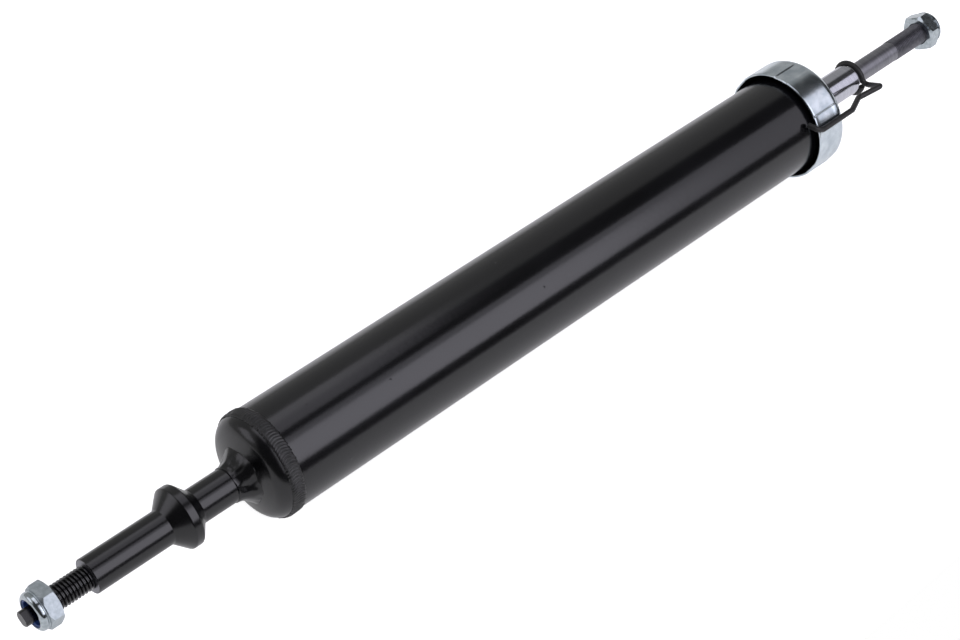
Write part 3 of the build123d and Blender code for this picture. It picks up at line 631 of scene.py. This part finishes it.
# Stop cap, drawn from sheet: its rim is rolled smooth, and flutes are pressed in from it
stopCap = {
    "wallMm": 1.2, "cornerMm": 5.2, "holeMm": 8.6, "holeEdgeMm": 0.2, "rimMm": 0.55,
    "steps": 720, "rows": 22, "cornerSteps": 12, "innerSteps": 8, "rimSteps": 8,
    "flutes": 6, "fluteTurn": 28.9, "fluteWideMm": 6.8, "fluteEdgeMm": 1.1, "fluteDeepMm": 0.5,
    "fluteLongMm": 14.0, "fluteFadeMm": 6.0,
    # the rim itself was trued after pressing: the share of the depth left there, the rest, and how soon it comes
    "rimDepthShare": 0.45, "restDepthShare": 0.55, "truedMm": 2.5,
    "bowMm": 0.07, "bowGrainMm": 9,
}


def softWall(inside, widthMm):
    # 0 outside and 1 inside, with a smooth wall that stands over the edge
    share = min(1, max(0, inside / (widthMm * mm) + 0.5))
    return share * share * (3 - 2 * share)


def makeStopCap(settings):
    mesh = bmesh.new()
    capLow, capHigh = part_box("stop_cap")
    outer = capHigh.y
    wall = settings["wallMm"] * mm
    corner = settings["cornerMm"] * mm
    inner = corner - wall
    hole = settings["holeMm"] * mm
    holeEdge = settings["holeEdgeMm"] * mm
    rim = settings["rimMm"] * mm
    rows = settings["rows"]
    cornerX = capHigh.x - corner
    rimX = capLow.x + rim
    skirt = cornerX - capLow.x - rim
    profile = [(capHigh.x - wall, hole), (capHigh.x - holeEdge, hole), (capHigh.x, hole + holeEdge)]
    for i in range(settings["cornerSteps"] + 1):
        turn = math.pi / 2 * i / settings["cornerSteps"]
        profile.append((cornerX + corner * math.cos(turn), outer - corner + corner * math.sin(turn)))
    profile += [(cornerX - skirt * i / rows, outer) for i in range(1, rows)]
    for i in range(settings["rimSteps"] + 1):
        turn = math.pi * i / settings["rimSteps"]
        profile.append((rimX - rim * math.sin(turn), outer - wall / 2 + wall / 2 * math.cos(turn)))
    profile += [(rimX + skirt * i / rows, outer - wall) for i in range(1, rows)]
    for i in range(settings["innerSteps"] + 1):
        turn = math.pi / 2 * (1 - i / settings["innerSteps"])
        profile.append((cornerX + inner * math.cos(turn), outer - corner + inner * math.sin(turn)))
    profile.append(profile[0])
    spinProfile(mesh, profile, settings["steps"])
    pitch = 2 * math.pi / settings["flutes"]
    for vert in mesh.verts:
        radius = axisRadius(vert)
        angle = axisAngle(vert) - math.radians(settings["fluteTurn"])
        nearest = angle - pitch * round(angle / pitch)
        fromRim = vert.co.x - capLow.x
        across = softWall(settings["fluteWideMm"] * mm / 2 - abs(nearest) * outer, settings["fluteEdgeMm"])
        along = softWall(settings["fluteLongMm"] * mm - fromRim, settings["fluteFadeMm"])
        trued = settings["rimDepthShare"] + settings["restDepthShare"] * min(1, fromRim / (settings["truedMm"] * mm))
        depth = settings["fluteDeepMm"] * mm * across * along * trued
        bow = 0
        if radius > outer - 2 * wall:
            bow = settings["bowMm"] * mm * noise.noise(vert.co / (settings["bowGrainMm"] * mm))
        scale = (radius - depth + bow) / radius
        if scale > 1:
            scale = min(scale, outer / radius)
        scaleRadius(vert, scale)
    finishMesh(mesh, "pressed_stop_cap", "barrel", [zincPlate], ["stop_cap"], sharpDegrees=60)


makeStopCap(stopCap)
print("stage: stop cap")


# Retaining clip, bent from spring wire: a ring that comes round to its own arm, an elbow, a leg and a hook
retainingClip = {
    "wireMm": 2.6, "ringMm": 7.4, "turn": 155.8, "armTurn": 15.0, "freeTurn": 29.0, "bendMm": 2.4, "bendSteps": 10,
    "cornerMm": 2.2, "sides": 24, "stepDegrees": 7.0, "cutMm": 0.25, "cutShare": 0.8,
    # bends after the arm: back from the ring, out from the axis, turn
    "bends": [(6.6, 23.9, -1.0), (18.9, 20.6, 0.0), (31.1, 27.0, 0.0), (51.6, 27.0, 0.0), (54.9, 27.0, -3.0),
              (56.3, 23.75, -10.0)],
}


def bendCorner(before, corner, after, settings):
    # points of an arc that rounds one corner of a path
    radius = settings["cornerMm"] * mm
    toBefore = (before - corner).normalized()
    toAfter = (after - corner).normalized()
    opening = toBefore.angle(toAfter)
    centre = corner + (toBefore + toAfter).normalized() * radius / math.sin(opening / 2)
    start = corner + toBefore * radius / math.tan(opening / 2) - centre
    end = corner + toAfter * radius / math.tan(opening / 2) - centre
    steps = max(2, math.ceil(math.degrees(math.pi - opening) / settings["stepDegrees"]))
    return [centre + start.slerp(end, i / steps) * radius for i in range(steps + 1)]


def sweepWire(mesh, path, settings):
    # draws a round section along a path, a little smaller at the two cut ends
    last = len(path) - 1
    ways = [(path[min(i + 1, last)] - path[max(i - 1, 0)]).normalized() for i in range(len(path))]
    stand = ways[0].to_track_quat("Z", "Y").to_matrix().to_4x4()
    ring = bmesh.ops.create_circle(mesh, cap_ends=True, segments=settings["sides"],
                                   radius=settings["wireMm"] * mm / 2 * settings["cutShare"],
                                   matrix=Matrix.Translation(path[0]) @ stand)["verts"]
    edges = list({e for v in ring for e in v.link_edges})
    for i in range(1, len(path)):
        made = bmesh.ops.extrude_edge_only(mesh, edges=edges)["geom"]
        ring = [g for g in made if isinstance(g, bmesh.types.BMVert)]
        edges = list({e for v in ring for e in v.link_edges if e.other_vert(v) in ring})
        turn = ways[i - 1].rotation_difference(ways[i]).to_matrix().to_4x4()
        growth = 1
        if i == 1:
            growth = 1 / settings["cutShare"]
        elif i == last:
            growth = settings["cutShare"]
        move = Matrix.Translation(path[i]) @ turn @ Matrix.Scale(growth, 4) @ Matrix.Translation(-path[i - 1])
        bmesh.ops.transform(mesh, verts=ring, matrix=move)
    bmesh.ops.contextual_create(mesh, geom=edges)


def makeRetainingClip(settings):
    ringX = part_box("retaining_clip")[1].x - settings["wireMm"] * mm / 2

    def place(backMm, radiusMm, turn):
        angle = math.radians(settings["turn"] + turn)
        return Vector((ringX - backMm * mm, radiusMm * mm * math.cos(angle), radiusMm * mm * math.sin(angle)))

    bend = settings["bendMm"]
    bendSteps = settings["bendSteps"]
    reach = settings["ringMm"] + bend
    lean = math.degrees(math.asin(bend / reach))
    armStart = math.sqrt(reach ** 2 - bend ** 2)
    first = settings["freeTurn"]
    last = 360 + settings["armTurn"] - lean
    steps = math.ceil((last - first) / settings["stepDegrees"])
    path = [place(0, settings["ringMm"], first + (last - first) * i / steps) for i in range(steps + 1)]
    # the ring bends outward into the arm
    centre = place(0, reach, settings["armTurn"] - lean)
    start = path[-1] - centre
    end = place(0, armStart, settings["armTurn"]) - centre
    path += [centre + start.slerp(end, i / bendSteps) * bend * mm for i in range(1, bendSteps + 1)]
    corners = [path[-1], place(0, armStart + settings["wireMm"] / 2, settings["armTurn"])]
    corners += [place(*row) for row in settings["bends"]]
    for before, corner, after in zip(corners, corners[1:], corners[2:]):
        path += bendCorner(before, corner, after, settings)
    path.append(corners[-1])
    # short steps at the two ends for the rounded cuts
    cut = settings["cutMm"] * mm
    path.insert(1, path[0] + (path[1] - path[0]).normalized() * cut)
    path.insert(len(path) - 1, path[-1] + (path[-2] - path[-1]).normalized() * cut)
    mesh = bmesh.new()
    sweepWire(mesh, path, settings)
    finishMesh(mesh, "bent_retaining_clip", "clip", [wireBlack], ["retaining_clip"],
               sharpDegrees=50)


makeRetainingClip(retainingClip)
print("stage: retaining clip")


# Star springs over the two valve plates, each copied from its CAD mesh onto its own body
starSprings = [
    {"node": "foot_valve_spring", "body": "barrel", "joint": "intake_lift", "liftMm": 0.8},
    {"node": "check_spring", "body": "rod", "joint": "check_lift", "liftMm": 0.8},
]


def makeStarSpring(settings):
    mesh = bmesh.new()
    mesh.from_mesh(frame["nodes"][settings["node"]].data)
    piece = finishMesh(mesh, "star_" + settings["node"], settings["body"], [coldRolled],
                       [settings["node"]])
    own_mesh(piece)


for spring in starSprings:
    makeStarSpring(spring)
print("stage: star springs")


# Camera, fitted to the photograph: the object runs away from it, up to the right
camera = {"lensMm": 80.5, "sensorMm": 36.0, "farM": 20.0, "distanceMm": 868.0, "aimMm": 178.55, "azimuth": -44.2,
          "elevation": 42.3}


def makeCamera(settings):
    data = bpy.data.cameras.new("studioCamera")
    data.lens = settings["lensMm"]
    data.sensor_width = settings["sensorMm"]
    data.clip_end = settings["farM"]
    eye = bpy.data.objects.new("studioCamera", data)
    bpy.context.scene.collection.objects.link(eye)
    bpy.context.scene.camera = eye
    azimuth = math.radians(settings["azimuth"])
    elevation = math.radians(settings["elevation"])
    # azimuth 0 looks along +Y
    away = Vector((math.sin(azimuth) * math.cos(elevation), -math.cos(azimuth) * math.cos(elevation),
                   math.sin(elevation)))
    place = Vector((settings["aimMm"] * mm, 0, 0)) + away * settings["distanceMm"] * mm
    eye.matrix_world = Matrix.Translation(place) @ away.to_track_quat("Z", "Y").to_matrix().to_4x4()


makeCamera(camera)


# Studio: a pale table that keeps the shadow, in a dim room, with soft boxes over it
studio = {
    # two corners of the table, in metres
    "tableStart": (-1.2, -0.2), "tableEnd": (2.2, 1.4), "tableSteps": (8, 4), "tableDropMm": 0.2,
    "tableColour": "#dcdcdc", "tableRoughness": 0.9, "eyeGlow": 0.85, "mirrorGlow": 0.42,
    "roomDark": 0.06, "roomPale": 0.42, "paleFrom": 0.12, "paleTo": 0.28, "glowColour": "#ffffff",
}


def makeTable(settings):
    mesh = bmesh.new()
    columns, rows = settings["tableSteps"]
    # a grid one metre square, stretched to the table's size
    bmesh.ops.create_grid(mesh, x_segments=columns, y_segments=rows, size=0.5)
    start = Vector(settings["tableStart"])
    end = Vector(settings["tableEnd"])
    bmesh.ops.scale(mesh, verts=mesh.verts, vec=(end.x - start.x, end.y - start.y, 1))
    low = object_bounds()[0][2] - settings["tableDropMm"] * mm
    bmesh.ops.translate(mesh, verts=mesh.verts, vec=((start.x + end.x) / 2, (start.y + end.y) / 2, low))
    data = bpy.data.meshes.new("studioTable")
    mesh.to_mesh(data)
    mesh.free()
    table = bpy.data.objects.new("studioTable", data)
    bpy.context.scene.collection.objects.link(table)
    material = bpy.data.materials.new("paleTable")
    material.use_nodes = True
    tree = material.node_tree
    shader = tree.nodes["Principled BSDF"]
    shader.inputs["Base Color"].default_value = linearColour(settings["tableColour"])
    shader.inputs["Roughness"].default_value = settings["tableRoughness"]
    shader.inputs["Emission Color"].default_value = linearColour(settings["glowColour"])
    # the table glows only for the eye and in what mirrors it, so it puts no light on the object
    paths = addNode(tree, "ShaderNodeLightPath").outputs
    mirrored = addNode(tree, "ShaderNodeMath", {"operation": "MAXIMUM"},
                       {0: paths["Is Glossy Ray"], 1: paths["Is Transmission Ray"]})
    mirrorGlow = addNode(tree, "ShaderNodeMath", {"operation": "MULTIPLY", 1: settings["mirrorGlow"]}, {0: mirrored})
    glow = addNode(tree, "ShaderNodeMath", {"operation": "MULTIPLY_ADD", 1: settings["eyeGlow"]},
                   {0: paths["Is Camera Ray"], 2: mirrorGlow})
    tree.links.new(glow.outputs[0], shader.inputs["Emission Strength"])
    data.materials.append(material)
    table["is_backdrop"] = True


def makeWorld(settings):
    world = bpy.data.worlds.new("studioWorld")
    bpy.context.scene.world = world
    world.use_nodes = True
    tree = world.node_tree
    background = tree.nodes["Background"]
    background.inputs["Color"].default_value = linearColour(settings["glowColour"])
    # the room is pale beyond the table and dim above it and in front of it
    way = addNode(tree, "ShaderNodeSeparateXYZ", None,
                  {"Vector": addNode(tree, "ShaderNodeTexCoord").outputs["Generated"]})
    room = addNode(tree, "ShaderNodeMapRange", {
        "interpolation_type": "SMOOTHSTEP", "From Min": settings["paleFrom"], "From Max": settings["paleTo"],
        "To Min": settings["roomDark"], "To Max": settings["roomPale"]}, {"Value": way.outputs["Y"]})
    paths = addNode(tree, "ShaderNodeLightPath").outputs
    bright = addNode(tree, "ShaderNodeMath", {"operation": "MAXIMUM"}, {0: paths["Is Camera Ray"], 1: room})
    tree.links.new(bright.outputs[0], background.inputs["Strength"])


# each box hangs round the object's axis, at a turn from +Y, and faces a point of that axis; lengths in metres
softBoxes = [
    {"name": "keyBox", "turn": 141.0, "away": 1.0, "along": 0.65, "faces": 0.65, "size": (1.9, 1.05), "glow": 1.15},
    {"name": "keyCore", "turn": 147.0, "away": 0.98, "along": 0.5, "faces": 0.5, "size": (0.95, 0.78), "glow": 1.5},
    {"name": "topBox", "turn": 80.0, "away": 1.0, "along": 0.2, "faces": 0.2, "size": (1.0, 0.72), "glow": 1.1},
    {"name": "endBox", "turn": 38.0, "away": 0.75, "along": -0.75, "faces": 0.0, "size": (0.6, 0.5), "glow": 1.2},
]
# white, a little to the blue
boxColour = "#f5f3ff"


def makeSoftBox(settings):
    data = bpy.data.lights.new(settings["name"], "AREA")
    data.shape = "RECTANGLE"
    data.size, data.size_y = settings["size"]
    # a box that glows at 1 looks white
    data.energy = settings["glow"] * math.pi * settings["size"][0] * settings["size"][1]
    data.color = linearColour(boxColour)[:3]
    lamp = bpy.data.objects.new(settings["name"], data)
    bpy.context.scene.collection.objects.link(lamp)
    turn = math.radians(settings["turn"])
    place = Vector((settings["along"], math.cos(turn) * settings["away"], math.sin(turn) * settings["away"]))
    back = (place - xAxis * settings["faces"]).normalized()
    side = Vector((0, -math.sin(turn), math.cos(turn)))
    lamp.matrix_world = Matrix.Translation(place) @ Matrix((side.cross(back), side, back)).transposed().to_4x4()


makeTable(studio)
makeWorld(studio)
for box in softBoxes:
    makeSoftBox(box)
bpy.context.scene.view_settings.view_transform = "Standard"
print("stage: studio")
